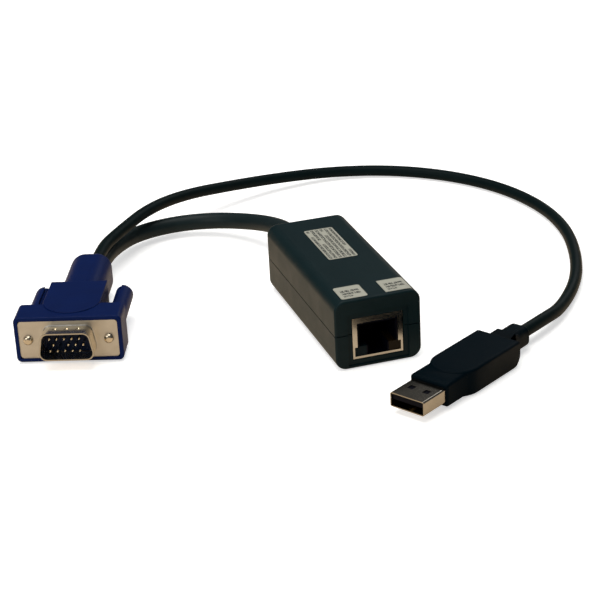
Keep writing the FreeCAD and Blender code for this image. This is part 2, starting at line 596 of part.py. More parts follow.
def vga_hood():
    part = new_body("video_hood", "video")
    half = "(dims.hood_width / 2)"
    low = f"({VIDEO_MIDDLE} - dims.hood_collar_height / 2)"
    high = f"({VIDEO_MIDDLE} + dims.hood_collar_height / 2)"
    depth = "dims.hood_collar_depth"
    prism(part, "XZ", "0", depth, (f"-{half}", half, low, high))
    round_edges(part, "dims.hood_corner_radius", lambda e: along(e, "y"))
    round_edges(part, "dims.hood_corner_radius / 3", lambda e: flat_at(e, "Y", 0))
    # Neck, rounded along its length and at its end
    neck = "(dims.hood_neck_width / 2)"
    tall = "(dims.hood_neck_height / 2)"
    prism(part, "XZ", f"{depth} / 2", "dims.hood_neck_end",
          (f"-{neck}", neck, f"{VIDEO_MIDDLE} - {tall}", f"{VIDEO_MIDDLE} + {tall}"))
    outer = size("hood_neck_width") / 2
    round_edges(part, "dims.hood_neck_radius",
                lambda e: along(e, "y") and near(abs(e.BoundBox.XMin), outer)
                and e.BoundBox.YMax > size("hood_collar_depth") + 1)
    end = size("hood_neck_end")
    round_edges(part, "dims.hood_neck_rounding", lambda e: flat_at(e, "Y", end))
    # Grip with a bowed front, proud of the collar above and below
    body = "dims.hood_body_half_width"
    prism(part, "XY", "0", "dims.hood_height", ("0", "dims.hood_bow_centre", body))
    prism(part, "XY", "0", "dims.hood_height",
          (f"-{body}", body, "dims.hood_bow_centre", "dims.hood_body_end"))
    top = size("hood_height")
    back, grip = size("hood_body_end"), size("hood_body_half_width")
    round_edges(part, "dims.hood_grip_radius",
                lambda e: (flat_at(e, "Z", 0) or flat_at(e, "Z", top)) and e.BoundBox.YMin > 0.5)
    # Half sleeves that guard the outer side of each knob
    for side in ("-", ""):
        x = f"{side}{SCREW_X}"
        prism(part, "XZ", f"{depth} - 1", "dims.guard_end", (x, VIDEO_MIDDLE, GUARD_RADIUS))
        inner = (x, f"{side}dims.hood_body_half_width")
        span = inner if side else inner[::-1]
        cut(part, "XZ", depth, "dims.guard_end + 1",
            (*span, f"{VIDEO_MIDDLE} - {GUARD_RADIUS} - 1", f"{VIDEO_MIDDLE} + {GUARD_RADIUS} + 1"))
        cut(part, "XZ", depth, "dims.guard_end + 1",
            (x, VIDEO_MIDDLE, "dims.knob_radius + dims.knob_clearance"))
        cut(part, "XZ", "0", depth,
            (x, VIDEO_MIDDLE, "dims.jackscrew_radius + dims.jackscrew_clearance"))
    # Seat of the metal plate, and the pocket for the moulded insert behind it
    cut(part, "XZ", "0", "dims.plate_setback + dims.plate_thickness",
        ("-dims.plate_width / 2", "dims.plate_width / 2",
         f"{VIDEO_MIDDLE} - dims.plate_height / 2", f"{VIDEO_MIDDLE} + dims.plate_height / 2"))
    cut(part, "XZ", "0", "dims.plate_setback + dims.insert_recess + dims.insert_length",
        shroud_outline("dims.shroud_sheet"), SHROUD_INNER_RADIUS)
    return part


def vga_shell():
    """Drawn metal shell: a plate with two screw holes and the D-shaped shroud."""
    part = new_body("video_shell", "video")
    front = "dims.plate_setback"
    back = "(dims.plate_setback + dims.plate_thickness)"
    rim = "(dims.plate_setback - dims.shroud_length)"
    prism(part, "XZ", front, back,
          ("-dims.plate_width / 2", "dims.plate_width / 2",
           f"{VIDEO_MIDDLE} - dims.plate_height / 2", f"{VIDEO_MIDDLE} + dims.plate_height / 2"))
    round_edges(part, "dims.plate_corner_radius", lambda e: along(e, "y"))
    prism(part, "XZ", rim, back, shroud_outline("0"), corner="dims.shroud_corner_radius")
    plate_y, wide = size("plate_setback"), size("shroud_width")
    round_edges(part, "dims.shroud_sheet",
                lambda e: flat_at(e, "Y", plate_y) and abs(e.BoundBox.Center.x) < wide / 2
                and e.BoundBox.XLength < wide)
    cut(part, "XZ", rim, back, shroud_outline("dims.shroud_sheet"), SHROUD_INNER_RADIUS)
    for side in ("-", ""):
        cut(part, "XZ", front, back,
            (f"{side}{SCREW_X}", VIDEO_MIDDLE, "dims.jackscrew_radius + dims.jackscrew_clearance"))
    roof = f"({VIDEO_MIDDLE} + dims.shroud_height / 2)"
    for step in (-1, 0, 1):
        cut(part, "XY", f"{roof} - dims.dimple_depth", f"{roof} + 0.1",
            (f"{step} * dims.dimple_pitch", "dims.plate_setback - dims.shroud_length * 0.45",
             "dims.dimple_radius"))
    return part


def vga_insert():
    """Moulded block that carries the pins, level with the plate inside the shroud."""
    part = new_body("video_insert", "video")
    start = "(dims.plate_setback + dims.insert_recess)"
    gap = "dims.insert_clearance"
    prism(part, "XZ", start, f"{start} + dims.insert_length",
          shroud_outline(f"dims.shroud_sheet + {gap}"), corner=f"{SHROUD_INNER_RADIUS} - {gap}")
    for x, z in pin_places():
        cut(part, "XZ", start, f"{start} + dims.insert_length", (x, z, "dims.pin_radius"))
    return part


def pin_places():
    """Centres of the fourteen pins: three rows of five, one place left out of the middle row."""
    places = []
    for row in (-1, 0, 1):
        shift = "0.25" if row == 0 else "-0.25"
        for column in range(5):
            if row == 0 and column == 1:
                continue
            places.append((f"({column} - 2 + {shift}) * dims.pin_pitch",
                           f"{VIDEO_MIDDLE} + {row} * dims.pin_row_pitch"))
    return places


def vga_pins():
    """Fourteen round pins with tapered tips, as separate solids in one node."""
    radius = size("pin_radius")
    base = size("plate_setback") + size("insert_recess")
    tip = base - size("pin_length")
    end = base + size("insert_length")
    middle, pitch, rows = size("hood_height") / 2, size("pin_pitch"), size("pin_row_pitch")
    pins = []
    for row in (-1, 0, 1):
        for column in range(5):
            if row == 0 and column == 1:
                continue
            x = (column - 2 + (0.25 if row == 0 else -0.25)) * pitch
            z = middle + row * rows
            inward = FreeCAD.Vector(0, 1, 0)
            shank = Part.makeCylinder(radius, end - tip - radius, FreeCAD.Vector(x, tip + radius, z), inward)
            point = Part.makeCone(radius / 3, radius, radius, FreeCAD.Vector(x, tip, z), inward)
            pins.append(shank.fuse(point).removeSplitter())
    part = DOC.addObject("Part::Feature", "video_pins")
    part.Shape = Part.makeCompound(pins)
    place(part, "video")
    NODES.append(part)
    return part


def jackscrew(label, side):
    """Long steel screw that turns in the hood, with a threaded end that stands out of the plate."""
    part = new_body(label, "video")
    x = f"{side}{SCREW_X}"
    prism(part, "XZ", "dims.plate_setback", "dims.hood_collar_depth + dims.jackscrew_embed",
          (x, VIDEO_MIDDLE, "dims.jackscrew_radius"))
    prism(part, "XZ", "dims.plate_setback - dims.jackscrew_stand_out", "dims.plate_setback + 0.1",
          (x, VIDEO_MIDDLE, "dims.thread_radius"))
    tip = size("plate_setback") - size("jackscrew_stand_out")
    round_edges(part, "dims.thread_tip_radius", lambda e: flat_at(e, "Y", tip))
    return part


def jackscrew_knob(label, side):
    """Ribbed knob moulded on the screw, with a rounded end."""
    part = new_body(label, "video")
    x = f"{side}{SCREW_X}"
    start = "(dims.hood_collar_depth + dims.knob_gap)"
    prism(part, "XZ", start, "dims.knob_end", (x, VIDEO_MIDDLE, "dims.knob_radius"))
    end = size("knob_end")
    round_edges(part, "dims.knob_tip_radius", lambda e: flat_at(e, "Y", end))
    flutes = 10
    sketch = new_sketch(part, "XZ", f"{start} - 0.5")
    for i in range(flutes):
        angle = 360 / flutes * i
        draw_circle(sketch, f"{x} + dims.knob_radius * cos({angle} * 1 deg)",
                    f"{VIDEO_MIDDLE} + dims.knob_radius * sin({angle} * 1 deg)",
                    "dims.knob_groove_radius")
    extrude(part, "Pocket", sketch, "XZ", f"{start} - 0.5", "dims.knob_end - dims.knob_tip_radius * 2")
    cut(part, "XZ", start, "dims.hood_collar_depth + dims.jackscrew_embed",
        (x, VIDEO_MIDDLE, "dims.jackscrew_radius"))
    return part


# ---------------------------------------------------------------- rectangular plug

PLUG_MIDDLE = "(dims.grip_height / 2)"


def usb_shell():
    """Folded sheet sleeve with two square holes above and two below."""
    part = new_body("plug_shell", "plug")
    wide, tall = "(dims.tube_width / 2)", "(dims.tube_height / 2)"
    prism(part, "XZ", "0", "dims.tube_length",
          (f"-{wide}", wide, f"{PLUG_MIDDLE} - {tall}", f"{PLUG_MIDDLE} + {tall}"))
    round_edges(part, "dims.tube_corner_radius", lambda e: along(e, "y"))
    inner_w, inner_t = "(dims.tube_width / 2 - dims.tube_sheet)", "(dims.tube_height / 2 - dims.tube_sheet)"
    cut(part, "XZ", "0", "dims.tube_length",
        (f"-{inner_w}", inner_w, f"{PLUG_MIDDLE} - {inner_t}", f"{PLUG_MIDDLE} + {inner_t}"))
    hole = "dims.tube_hole_side / 2"
    for side in ("-", ""):
        x = f"{side}dims.tube_hole_x"
        cut(part, "XY", f"{PLUG_MIDDLE} - {tall} - 0.5", f"{PLUG_MIDDLE} + {tall} + 0.5",
            (f"{x} - {hole}", f"{x} + {hole}", f"dims.tube_hole_y - {hole}", f"dims.tube_hole_y + {hole}"))
    return part


def usb_tongue():
    """Moulded tongue against the roof of the sleeve, on a block that fills its back."""
    part = new_body("plug_tongue", "plug")
    inner_w, inner_t = "(dims.tube_width / 2 - dims.tube_sheet)", "(dims.tube_height / 2 - dims.tube_sheet)"
    roof = f"({PLUG_MIDDLE} + {inner_t})"
    half = "(dims.tongue_width / 2)"
    prism(part, "XZ", "dims.tongue_setback", "dims.tube_length",
          (f"-{half}", half, f"{roof} - dims.tongue_thickness", roof))
    prism(part, "XZ", "dims.tube_length - dims.tongue_block_length", "dims.tube_length",
          (f"-{inner_w}", inner_w, f"{PLUG_MIDDLE} - {inner_t}", roof))
    return part


def usb_strips():
    """Four flat contacts under the tongue, as separate solids in one node."""
    under = size("grip_height") / 2 + size("tube_height") / 2 - size("tube_sheet") - size("tongue_thickness")
    strips = []
    for i in range(4):
        x = (i - 1.5) * size("strip_pitch") - size("strip_width") / 2
        corner = FreeCAD.Vector(x, size("strip_setback"), under - size("strip_thickness"))
        sides = (size("strip_width"), size("strip_length"), size("strip_thickness"))
        strips.append(Part.makeBox(*sides, corner))
    part = DOC.addObject("Part::Feature", "plug_strips")
    part.Shape = Part.makeCompound(strips)
    place(part, "plug")
    NODES.append(part)
    return part


def usb_grip():
    """Moulded grip: collar, wider body with a bowed front, a lower tail and a neck."""
    part = new_body("plug_grip", "plug")
    wide = "(dims.grip_collar_width / 2)"
    tall = "(dims.grip_collar_height / 2)"
    prism(part, "XZ", "dims.grip_collar_start", "dims.grip_bow_centre",
          (f"-{wide}", wide, f"{PLUG_MIDDLE} - {tall}", f"{PLUG_MIDDLE} + {tall}"))
    round_edges(part, "dims.grip_edge_radius", lambda e: along(e, "y") or flat_at(
        e, "Y", size("grip_collar_start")))
    half = "(dims.grip_width / 2)"
    prism(part, "XY", "0", "dims.grip_height", ("0", "dims.grip_bow_centre", half))
    prism(part, "XY", "0", "dims.grip_height",
          (f"-{half}", half, "dims.grip_bow_centre", "dims.grip_end"))
    top, end = size("grip_height"), size("grip_neck_end")
    round_edges(part, "dims.grip_edge_radius", lambda e: flat_at(e, "Z", 0) or flat_at(e, "Z", top))
    # Lower tail behind the pad
    inset = "((dims.grip_height - dims.grip_tail_height) / 2)"
    prism(part, "XY", inset, f"{inset} + dims.grip_tail_height",
          (f"-{half} + {inset}", f"{half} - {inset}", "dims.grip_end - 6", "dims.grip_tail_end"))
    tail = size("grip_tail_end")
    round_edges(part, "dims.grip_edge_radius * 0.6",
                lambda e: e.BoundBox.ZLength < 0.01 and abs(e.BoundBox.YMax - tail) < 0.5)
    neck, high = "(dims.grip_neck_width / 2)", "(dims.grip_neck_height / 2)"
    prism(part, "XZ", "dims.grip_end - 2", "dims.grip_neck_end",
          (f"-{neck}", neck, f"{PLUG_MIDDLE} - {high}", f"{PLUG_MIDDLE} + {high}"))
    round_edges(part, "dims.grip_neck_width * 0.3",
                lambda e: along(e, "y") and near(e.BoundBox.YMax, end))
    round_edges(part, "dims.grip_edge_radius", lambda e: flat_at(e, "Y", end))
    cut(part, "XZ", "dims.grip_collar_start", "dims.tube_length",
        ("-dims.tube_width / 2", "dims.tube_width / 2",
         f"{PLUG_MIDDLE} - dims.tube_height / 2", f"{PLUG_MIDDLE} + dims.tube_height / 2"))
    return part


# ---------------------------------------------------------------- leads

def at(frame, x, y, z):
    """A point of a plug's own frame, in the frame of the box."""
    px, py, turn = (size(name) for name in PLACES[frame])
    angle = math.radians(turn)
    return (px + x * math.cos(angle) - y * math.sin(angle),
            py + x * math.sin(angle) + y * math.cos(angle), z)


def lead_path(points):
    """Straight runs joined by tangent arcs, and the radius of each arc.

    An arc's radius is 0.45 of its shorter run divided by the tangent of half the turn.
    """
    corners = [FreeCAD.Vector(*point) for point in points]
    edges, radii = [], []
    last = corners[0]
    for before, corner, after in zip(corners, corners[1:], corners[2:]):
        inward, outward = (corner - before), (after - corner)
        reach = 0.45 * min(inward.Length, outward.Length)
        inward.normalize()
        outward.normalize()
        turn = inward.getAngle(outward)
        start, end = corner - inward * reach, corner + outward * reach
        radius = reach / math.tan(turn / 2)
        radii.append(radius)
        bisector = (outward - inward).normalize()
        middle = corner + bisector * (radius / math.cos(turn / 2) - radius)
        edges.append(Part.LineSegment(last, start).toShape())
        edges.append(Part.Arc(start, middle, end).toShape())
        last = end
    edges.append(Part.LineSegment(last, corners[-1]).toShape())
    return Part.Wire(edges), radii


def lead(label, points, diameter):
    """Plain round tube along a path."""
    path, radii = lead_path(points)
    start = FreeCAD.Vector(*points[0])
    direction = FreeCAD.Vector(*points[1]) - start
    ring = Part.Wire([Part.makeCircle(diameter / 2, start, direction)])
    tube = path.makePipeShell([ring], True, False)
    part = DOC.addObject("Part::Feature", label)
    part.Shape = tube
    NODES.append(part)
    whole = math.pi / 4 * diameter ** 2 * path.Length
    print(f"{label}: length {path.Length:.1f}, radii {min(radii):.1f} to {max(radii):.1f}, "
          f"volume {tube.Volume / whole:.4f} of section times length")
    print("   radii", " ".join(f"{radius:.0f}" for radius in radii))
    return part


def leads():
    middle = size("box_height") / 2
    exit_point = (0.0, size("box_length") / 2 + size("relief_length"), middle)
    end = size("hood_neck_end")
    video_x, video_z = size("video_exit_x"), size("video_exit_z")
    hood_exit = at("video", video_x, end, video_z)
    hood_next = at("video", video_x, end + 15, video_z)
    lead("video_lead", [exit_point, *VIDEO_LEAD_POINTS, hood_next, hood_exit],
         size("video_lead_diameter"))
    plug_x, plug_z = size("plug_exit_x"), size("plug_exit_z")
    grip_middle, grip_end = size("grip_height") / 2, size("grip_neck_end")
    lead("plug_lead", [at("video", plug_x, end, plug_z), at("video", plug_x, end + 12, plug_z),
                       *PLUG_LEAD_POINTS,
                       at("plug", 0, grip_end + 13.5, grip_middle), at("plug", 0, grip_end, grip_middle)],
         size("plug_lead_diameter"))


# ---------------------------------------------------------------- build, check and write

def build():
    lower_housing()
    upper_housing()
    for name, (x, y) in zip(("front", "rear"), BOSSES):
        housing_screw(f"housing_screw_{name}", x, y)
    circuit_board()
    board_components()
    jack_shield()
    jack_insert()
    lamp("lamp_left", "-")
    lamp("lamp_right", "")
    jack_contacts()
    label_plate("roof_label", "dims.label_x", "dims.label_y", "dims.label_width", "dims.label_length")
    label_plate("tag_left", "dims.tag_left_x", "(-dims.box_length / 2 + dims.tag_front_inset)",
                "dims.tag_width", "dims.tag_length")
    wrapped_tag("tag_right")
    cable_relief()
    vga_hood()
    vga_shell()
    vga_insert()
    vga_pins()
    for name, side in (("left", "-"), ("right", "")):
        jackscrew(f"jackscrew_{name}", side)
        jackscrew_knob(f"jackscrew_knob_{name}", side)
    usb_shell()
    usb_tongue()
    usb_strips()
    usb_grip()
    leads()
    DOC.recompute()


def check():
    """Stop if any object failed or any node is empty or invalid."""
    for item in DOC.Objects:
        if {"Invalid", "Error"} & set(item.State):
            parents = ", ".join(parent.Label for parent in item.InList)
            raise RuntimeError(f"{item.Name} of {parents} failed: {item.State}")
    for node in NODES:
        if node.Shape.isNull() or not node.Shape.isValid() or node.Shape.Volume <= 0:
            raise RuntimeError(f"{node.Label} has no sound shape")


def write():
    os.makedirs("parts", exist_ok=True)
    for node in NODES:
        node.Shape.exportStep(os.path.join("parts", node.Label + ".step"))
        box = node.Shape.BoundBox
        print(f"{node.Label}: {len(node.Shape.Solids)} solid, {node.Shape.Volume:.1f} mm3, "
              f"x {box.XMin:.2f}..{box.XMax:.2f} y {box.YMin:.2f}..{box.YMax:.2f} "
              f"z {box.ZMin:.2f}..{box.ZMax:.2f}")


build()
check()
write()
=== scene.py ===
"""Looks for the adapter dongle: box with a network socket, two leads, video plug and data plug.

Metres, in the frame of the CAD part: +X right, +Y to the back of the box, +Z up. Sizes that are
written in millimetres are multiplied by MM, or go through place_on() or metres().
"""
import math
import bmesh
import bpy
import numpy as np
from mathutils import Matrix, Vector


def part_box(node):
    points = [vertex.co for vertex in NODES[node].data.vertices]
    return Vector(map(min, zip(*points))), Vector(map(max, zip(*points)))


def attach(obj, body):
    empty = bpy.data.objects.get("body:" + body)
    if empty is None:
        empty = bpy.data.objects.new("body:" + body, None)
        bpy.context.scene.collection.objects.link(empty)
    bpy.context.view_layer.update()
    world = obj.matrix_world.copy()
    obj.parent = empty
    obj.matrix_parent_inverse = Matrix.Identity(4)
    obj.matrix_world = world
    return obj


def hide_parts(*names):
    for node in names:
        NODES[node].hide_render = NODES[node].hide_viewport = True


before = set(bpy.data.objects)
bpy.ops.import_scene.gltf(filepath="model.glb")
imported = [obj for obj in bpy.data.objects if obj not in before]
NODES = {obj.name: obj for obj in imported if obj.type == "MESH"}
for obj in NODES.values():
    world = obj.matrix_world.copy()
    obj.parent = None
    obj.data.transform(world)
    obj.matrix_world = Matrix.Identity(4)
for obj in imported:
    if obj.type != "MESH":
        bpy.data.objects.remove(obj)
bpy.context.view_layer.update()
MM = 0.001

# Where the two plugs lie: x, y and turn about +Z, in millimetres and degrees
VIDEO_PLUG = (-87.0, 4.2, -20.2)
DATA_PLUG = (-4.7, -70.5, -58.3)

# Axes of the video plug's two screws: distance from its middle and height, in millimetres
SCREW_SIDE, SCREW_HEIGHT = 12.5, 7.8

# Soft boxes: name, place, point that each faces, width, watts and tint
SOFT_BOXES = [
    ("overhead", (-0.10, 0.10, 0.85), (0.0, 0.02, 0.0), 0.7, 6.0, (1.0, 0.98, 0.94)),
    ("left_side", (-0.75, -0.35, 0.45), (-0.02, 0.0, 0.01), 0.5, 2.6, (1.0, 0.96, 0.90)),
    ("right_back", (0.55, 0.55, 0.50), (0.02, 0.0, 0.01), 0.4, 1.0, (1.0, 1.0, 1.0)),
]
WORLD_STRENGTH = 0.12

# Table top: its colour and its glow, to the camera and as gloss on the part shows them
TABLE_COLOUR, TABLE_IN_GLOSS = (0.92, 0.92, 0.92), (0.80, 0.64, 0.47)
GLOW_TO_CAMERA, GLOW_IN_GLOSS, NO_GLOW = (0.58, 0.58, 0.58), (0.34, 0.27, 0.19), (0.0, 0.0, 0.0)

# Routes of the leads between the straight runs at their ends, in millimetres
VIDEO_LEAD_POINTS = [
    (0.0, 52.5, 11.2), (-2.6, 66.1, 9.2), (-7.7, 78.1, 6.8), (-16.4, 88.0, 5.1),
    (-28.4, 92.9, 4.3), (-41.3, 91.5, 4.2), (-52.1, 84.3, 4.7),
]
PLUG_LEAD_POINTS = [
    (-54.6, 75.3, 11.7), (-40.6, 91.0, 12.4), (-24.0, 104.6, 10.4), (-4.0, 115.2, 7.0),
    (18.0, 122.6, 4.3), (40.0, 124.4, 2.7), (61.0, 118.0, 2.1), (79.0, 103.0, 2.1),
    (91.5, 83.0, 2.1), (97.0, 60.0, 2.1), (96.0, 37.0, 2.1), (89.0, 14.0, 2.1),
    (79.0, -7.0, 2.1), (65.0, -25.0, 2.4),
]
VIDEO_LEAD_RADIUS, PLUG_LEAD_RADIUS = 2.9, 2.05

# Straight runs at the plugs, each from outside to where the lead goes in: x, y and z of the plug
INTO_HOOD = [(0.5, 69.0, 5.6), (0.5, 54.0, 5.6)]
OUT_OF_HOOD = [(1.3, 54.0, 10.8), (1.3, 66.0, 10.8)]
INTO_GRIP = [(0.0, 70.5, 4.1), (0.0, 57.0, 4.1)]

# Print on the labels: material, node, margin in millimetres, whether the rows run along +Y,
# letter pitch, row pitch and share of gaps
LABELS = [
    ("roof_print", "roof_label", 0.5, True, 0.95, 1.55, 0.12),
    ("left_print", "tag_left", 1.2, False, 1.5, 1.9, 0.3),
    ("right_print", "tag_right", 1.2, False, 1.5, 1.9, 0.3),
]


# ------------------------------------------------------------------------------- places

def place_on(plug, x, y, z):
    """Place in a plug's own frame, in millimetres, as metres in the frame of the box.

    The place is turned about +Z and moved to the plug. Numbers and arrays both work.
    """
    origin_x, origin_y, turn = plug
    angle = math.radians(turn)
    return ((origin_x + x * math.cos(angle) - y * math.sin(angle)) * MM,
            (origin_y + x * math.sin(angle) + y * math.cos(angle)) * MM, z * MM)


def metres(points):
    """Points in millimetres, in the frame of the box, as metres."""
    return [tuple(value * MM for value in point) for point in points]


# ------------------------------------------------------------------------------- shader helpers

def add(tree, kind, inputs=None, **settings):
    """A node with its settings and inputs; an input is a plain value or another node's socket."""
    item = tree.nodes.new(kind)
    for key, value in settings.items():
        setattr(item, key, value)
    for key, value in (inputs or {}).items():
        if isinstance(value, bpy.types.NodeSocket):
            tree.links.new(value, item.inputs[key])
        else:
            item.inputs[key].default_value = value
    return item


def calc(tree, operation, *values):
    """Result of a Math node."""
    return add(tree, "ShaderNodeMath", dict(enumerate(values)), operation=operation).outputs[0]


def blend_colour(tree, amount, first, second):
    """Mix of two colours."""
    mix = add(tree, "ShaderNodeMix", {0: amount}, data_type="RGBA")
    for key, value in ((6, first), (7, second)):
        if isinstance(value, bpy.types.NodeSocket):
            tree.links.new(value, mix.inputs[key])
        else:
            mix.inputs[key].default_value = (*value, 1)
    return mix.outputs[2]


def new_group(name, inputs, outputs):
    """Empty shader group with named sockets: inputs are (name, value), outputs are names."""
    group = bpy.data.node_groups.new(name, "ShaderNodeTree")
    for label, value in inputs:
        socket = group.interface.new_socket(label, in_out="INPUT", socket_type="NodeSocketFloat")
        socket.default_value = value
    for label in outputs:
        group.interface.new_socket(label, in_out="OUTPUT", socket_type="NodeSocketFloat")
    start = group.nodes.new("NodeGroupInput")
    end = group.nodes.new("NodeGroupOutput")
    return group, start, end


def new_material(name, roughness, metallic=0.0, specular=0.5):
    """Material with a Principled shader; returns it with its tree and shader."""
    material = bpy.data.materials.new(name)
    material.use_nodes = True
    shader = material.node_tree.nodes["Principled BSDF"]
    shader.inputs["Roughness"].default_value = roughness
    shader.inputs["Metallic"].default_value = metallic
    shader.inputs["Specular IOR Level"].default_value = specular
    return material, material.node_tree, shader


# ------------------------------------------------------------------------------- camera, light and table

def add_camera():
    """Long lens to the left of the socket and above the box, with its right side a little low."""
    place = (-0.16340, -0.49887, 0.24120)
    right = Vector((0.95018, -0.30795, -0.04833)).normalized()
    forward = Vector((0.26287, 0.87491, -0.40674)).normalized()
    up = right.cross(forward)
    turn = Matrix((right, up, -forward)).transposed()
    camera = bpy.data.objects.new("camera", bpy.data.cameras.new("camera"))
    bpy.context.scene.collection.objects.link(camera)
    camera.data.sensor_width = 36.0
    camera.data.lens = 108.52
    camera.data.clip_start, camera.data.clip_end = 0.01, 20.0
    camera.matrix_world = Matrix.Translation(place) @ turn.to_4x4()
    bpy.context.scene.camera = camera


def add_lamp(name, place, target, width, power, tint):
    """Square soft box that faces a point."""
    light = bpy.data.lights.new(name, "AREA")
    light.shape, light.size, light.energy, light.color = "SQUARE", width, power, tint
    lamp = bpy.data.objects.new(name, light)
    lamp.location = place
    lamp.rotation_euler = (Vector(target) - Vector(place)).to_track_quat("-Z", "Y").to_euler()
    bpy.context.scene.collection.objects.link(lamp)


def add_light():
    """Large soft box overhead, smaller ones on the left and behind on the right, and an even world."""
    for soft_box in SOFT_BOXES:
        add_lamp(*soft_box)
    world = bpy.data.worlds.new("studio")
    bpy.context.scene.world = world
    world.use_nodes = True
    background = world.node_tree.nodes["Background"]
    background.inputs["Color"].default_value = (1, 1, 1, 1)
    background.inputs["Strength"].default_value = WORLD_STRENGTH


def add_floor():
    """Table top that glows white to the camera, less where the part shades it, and warm in gloss."""
    reach, drop = 3.0, 0.0002
    mesh = bpy.data.meshes.new("table_top")
    mesh.from_pydata([(-reach, -reach, 0), (reach, -reach, 0), (reach, reach, 0), (-reach, reach, 0)],
                     [], [(0, 1, 2, 3)])
    floor = bpy.data.objects.new("table_top", mesh)
    bpy.context.scene.collection.objects.link(floor)
    floor.location.z = -drop
    material, tree, shader = new_material("white_table", 0.8, specular=0.1)
    ray = add(tree, "ShaderNodeLightPath").outputs
    glow = blend_colour(tree, ray["Is Glossy Ray"], NO_GLOW, GLOW_IN_GLOSS)
    glow = blend_colour(tree, ray["Is Camera Ray"], glow, GLOW_TO_CAMERA)
    colour = blend_colour(tree, ray["Is Glossy Ray"], TABLE_COLOUR, TABLE_IN_GLOSS)
    tree.links.new(glow, shader.inputs["Emission Color"])
    tree.links.new(colour, shader.inputs["Base Color"])
    shader.inputs["Emission Strength"].default_value = 1.0
    mesh.materials.append(material)


# ------------------------------------------------------------------------------- surface effects

def moulded_surface():
    """Grain of a spark-eroded mould, slow unevenness of the surface, and faint rub marks."""
    group, given, result = new_group(
        "moulded_surface", [("Grain scale", 5000.0), ("Rub amount", 0.5)],
        ["Height", "Unevenness", "Rub"])
    place = add(group, "ShaderNodeTexCoord").outputs["Object"]
    grain = add(group, "ShaderNodeTexNoise",
                {"Vector": place, "Scale": given.outputs["Grain scale"], "Detail": 3.0, "Roughness": 0.6})
    slow = add(group, "ShaderNodeTexNoise", {"Vector": place, "Scale": 140.0, "Detail": 3.0})
    stretched = add(group, "ShaderNodeMapping", {"Vector": place, "Scale": (1.0, 0.16, 1.0),
                                                 "Rotation": (0.2, 0.1, 0.5)})
    marks = add(group, "ShaderNodeTexNoise",
                {"Vector": stretched.outputs[0], "Scale": 900.0, "Detail": 5.0, "Roughness": 0.7})
    rub = add(group, "ShaderNodeMapRange", {"Value": marks.outputs["Fac"], "From Min": 0.58,
                                            "From Max": 0.72}, clamp=True)
    group.links.new(grain.outputs["Fac"], result.inputs["Height"])
    group.links.new(slow.outputs["Fac"], result.inputs["Unevenness"])
    group.links.new(calc(group, "MULTIPLY", rub.outputs[0], given.outputs["Rub amount"]),
                    result.inputs["Rub"])
    return group


def plated_surface():
    """Fine drawing lines along the sheet, and the slight clouding of old plating."""
    group, given, result = new_group(
        "plated_surface", [("Line scale", 3000.0), ("Line angle", 0.0)], ["Lines", "Cloud"])
    place = add(group, "ShaderNodeTexCoord").outputs["Object"]
    turn = add(group, "ShaderNodeCombineXYZ", {"Z": given.outputs["Line angle"]})
    flat = add(group, "ShaderNodeMapping", {"Vector": place, "Rotation": turn.outputs[0],
                                            "Scale": (1.0, 0.05, 1.0)})
    lines = add(group, "ShaderNodeTexNoise", {"Vector": flat.outputs[0], "Detail": 4.0,
                                              "Scale": given.outputs["Line scale"]})
    cloud = add(group, "ShaderNodeTexNoise", {"Vector": place, "Scale": 260.0, "Detail": 4.0})
    group.links.new(lines.outputs["Fac"], result.inputs["Lines"])
    group.links.new(cloud.outputs["Fac"], result.inputs["Cloud"])
    return group


def printed_rows():
    """Ink of small print that can't be read: rows of letter-sized marks with gaps between words.

    Along and Across are distances from the middle of the label, and both pitches are in the
    same unit. A mark shows where noise is high inside its cell, its row and the margins.
    """
    half_row, half_letter, word_letters = 0.34, 0.44, 3.7
    stroke_scale, ink_from = 2.6, 0.43
    group, given, result = new_group(
        "printed_rows", [("Along", 0.0), ("Across", 0.0), ("Letter pitch", 0.9), ("Row pitch", 1.8),
                         ("Half length", 11.0), ("Half width", 3.8), ("Gaps", 0.3)], ["Ink"])
    along, across = given.outputs["Along"], given.outputs["Across"]
    row = calc(group, "DIVIDE", across, given.outputs["Row pitch"])
    letter = calc(group, "DIVIDE", along, given.outputs["Letter pitch"])
    row_number = calc(group, "FLOOR", row)
    in_row = calc(group, "COMPARE", calc(group, "FRACT", row), 0.5, half_row)
    in_cell = calc(group, "COMPARE", calc(group, "FRACT", letter), 0.5, half_letter)
    word_number = calc(group, "FLOOR", calc(group, "DIVIDE", letter, word_letters))
    word = add(group, "ShaderNodeCombineXYZ", {"X": word_number, "Y": row_number})
    chance = add(group, "ShaderNodeTexWhiteNoise", {"Vector": word.outputs[0]}, noise_dimensions="2D")
    present = calc(group, "GREATER_THAN", chance.outputs["Value"], given.outputs["Gaps"])
    stroke_place = add(group, "ShaderNodeCombineXYZ", {"X": letter, "Y": row})
    strokes = add(group, "ShaderNodeTexNoise", {"Vector": stroke_place.outputs[0], "Detail": 1.0,
                                                "Scale": stroke_scale}, noise_dimensions="2D")
    inked = calc(group, "GREATER_THAN", strokes.outputs["Fac"], ink_from)
    in_length = calc(group, "LESS_THAN", calc(group, "ABSOLUTE", along), given.outputs["Half length"])
    in_width = calc(group, "LESS_THAN", calc(group, "ABSOLUTE", across), given.outputs["Half width"])
    ink = calc(group, "MULTIPLY", in_length, in_width)
    for part in (in_row, in_cell, present, inked):
        ink = calc(group, "MULTIPLY", ink, part)
    group.links.new(ink, result.inputs["Ink"])
    return group


MOULDED = moulded_surface()
PLATED = plated_surface()
PRINT = printed_rows()


# ------------------------------------------------------------------------------- materials

